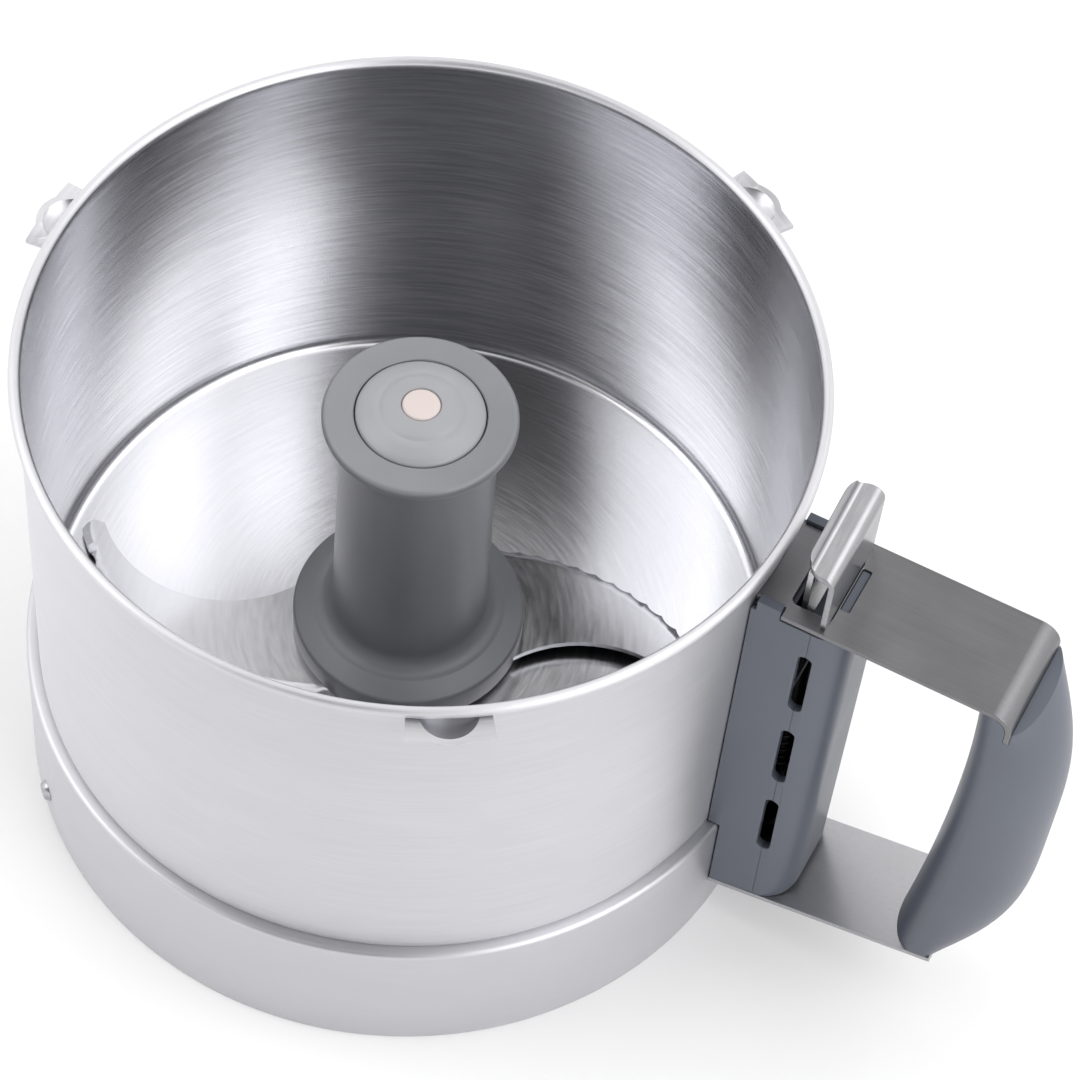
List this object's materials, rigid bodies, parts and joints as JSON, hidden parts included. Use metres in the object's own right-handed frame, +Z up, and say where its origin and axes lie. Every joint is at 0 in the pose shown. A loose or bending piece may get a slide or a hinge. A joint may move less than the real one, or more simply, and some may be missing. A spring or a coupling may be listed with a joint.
{
  "type": "food processor cutter bowl",
  "caption": "Stainless cutter bowl of a food processor, with a strap handle, a lid safety rod under a latch hook, and a lift-out serrated S-blade that spins on a central tube.",
  "frame": {"origin": "on the bowl's axis, at the plane that the base skirt stands on, at the mouth of the base socket", "axes": "+X from the bowl's axis towards the handle, +Z up along the bowl's axis, +Y to the left when looking along +X"},
  "size_m": [0.2774, 0.1964, 0.1659],
  "materials": {
    "bowl_steel": "fine circular brushing, satin",
    "strap_steel": "plain rolled sheet, satin",
    "blade_steel": "polished, ground bevel",
    "screw_steel": "plain",
    "handle_plastic": "fine satin mould texture",
    "ring_plastic": "satin",
    "hub_plastic": "satin",
    "cap_plastic": "satin",
    "plug_plastic": "satin",
    "bearing_plastic": "plain",
    "bush_metal": "machined",
    "magnet": "plain"
  },
  "bodies": {
    "bowl": {"bowl_shell": "bowl_steel", "base_skirt": "bowl_steel", "base_ring": "ring_plastic", "drive_tube": "bowl_steel", "lid_lug_1": "bowl_steel", "lid_lug_2": "bowl_steel", "lid_lug_3": "bowl_steel", "skirt_screws": "screw_steel", "upper_strap": "strap_steel", "lower_strap": "strap_steel", "latch_hook": "bowl_steel", "column_inner": "handle_plastic", "column_outer": "handle_plastic", "column_screw": "screw_steel", "handle_grip": "handle_plastic", "grip_screw": "screw_steel", "rod_spring": "screw_steel"},
    "safety_rod": {"safety_rod": "strap_steel", "rod_clip": "screw_steel", "rod_magnet": "magnet"},
    "bearing": {"hub_bearing": "bearing_plastic"},
    "blade": {"blade_hub": "hub_plastic", "hub_cap": "cap_plastic", "cap_plug": "plug_plastic", "drive_bush": "bush_metal", "upper_blade": "blade_steel", "lower_blade": "blade_steel"}
  },
  "joints": [
    {"name": "safety_rod_press", "type": "slide", "parent": "bowl", "child": "safety_rod", "axis": [0, 0, -1], "range_m": [0, 0.006], "stiffness_N_per_m": 300, "springref_m": -0.004, "deforming": ["rod_spring"]},
    {"name": "blade_lift", "type": "slide", "parent": "bowl", "child": "bearing", "axis": [0, 0, 1], "range_m": [0, 0.125]},
    {"name": "blade_spin", "type": "hinge", "parent": "bearing", "child": "blade", "pos_m": [0, 0, 0.08], "axis": [0, 0, 1], "continuous": true}
  ]
}
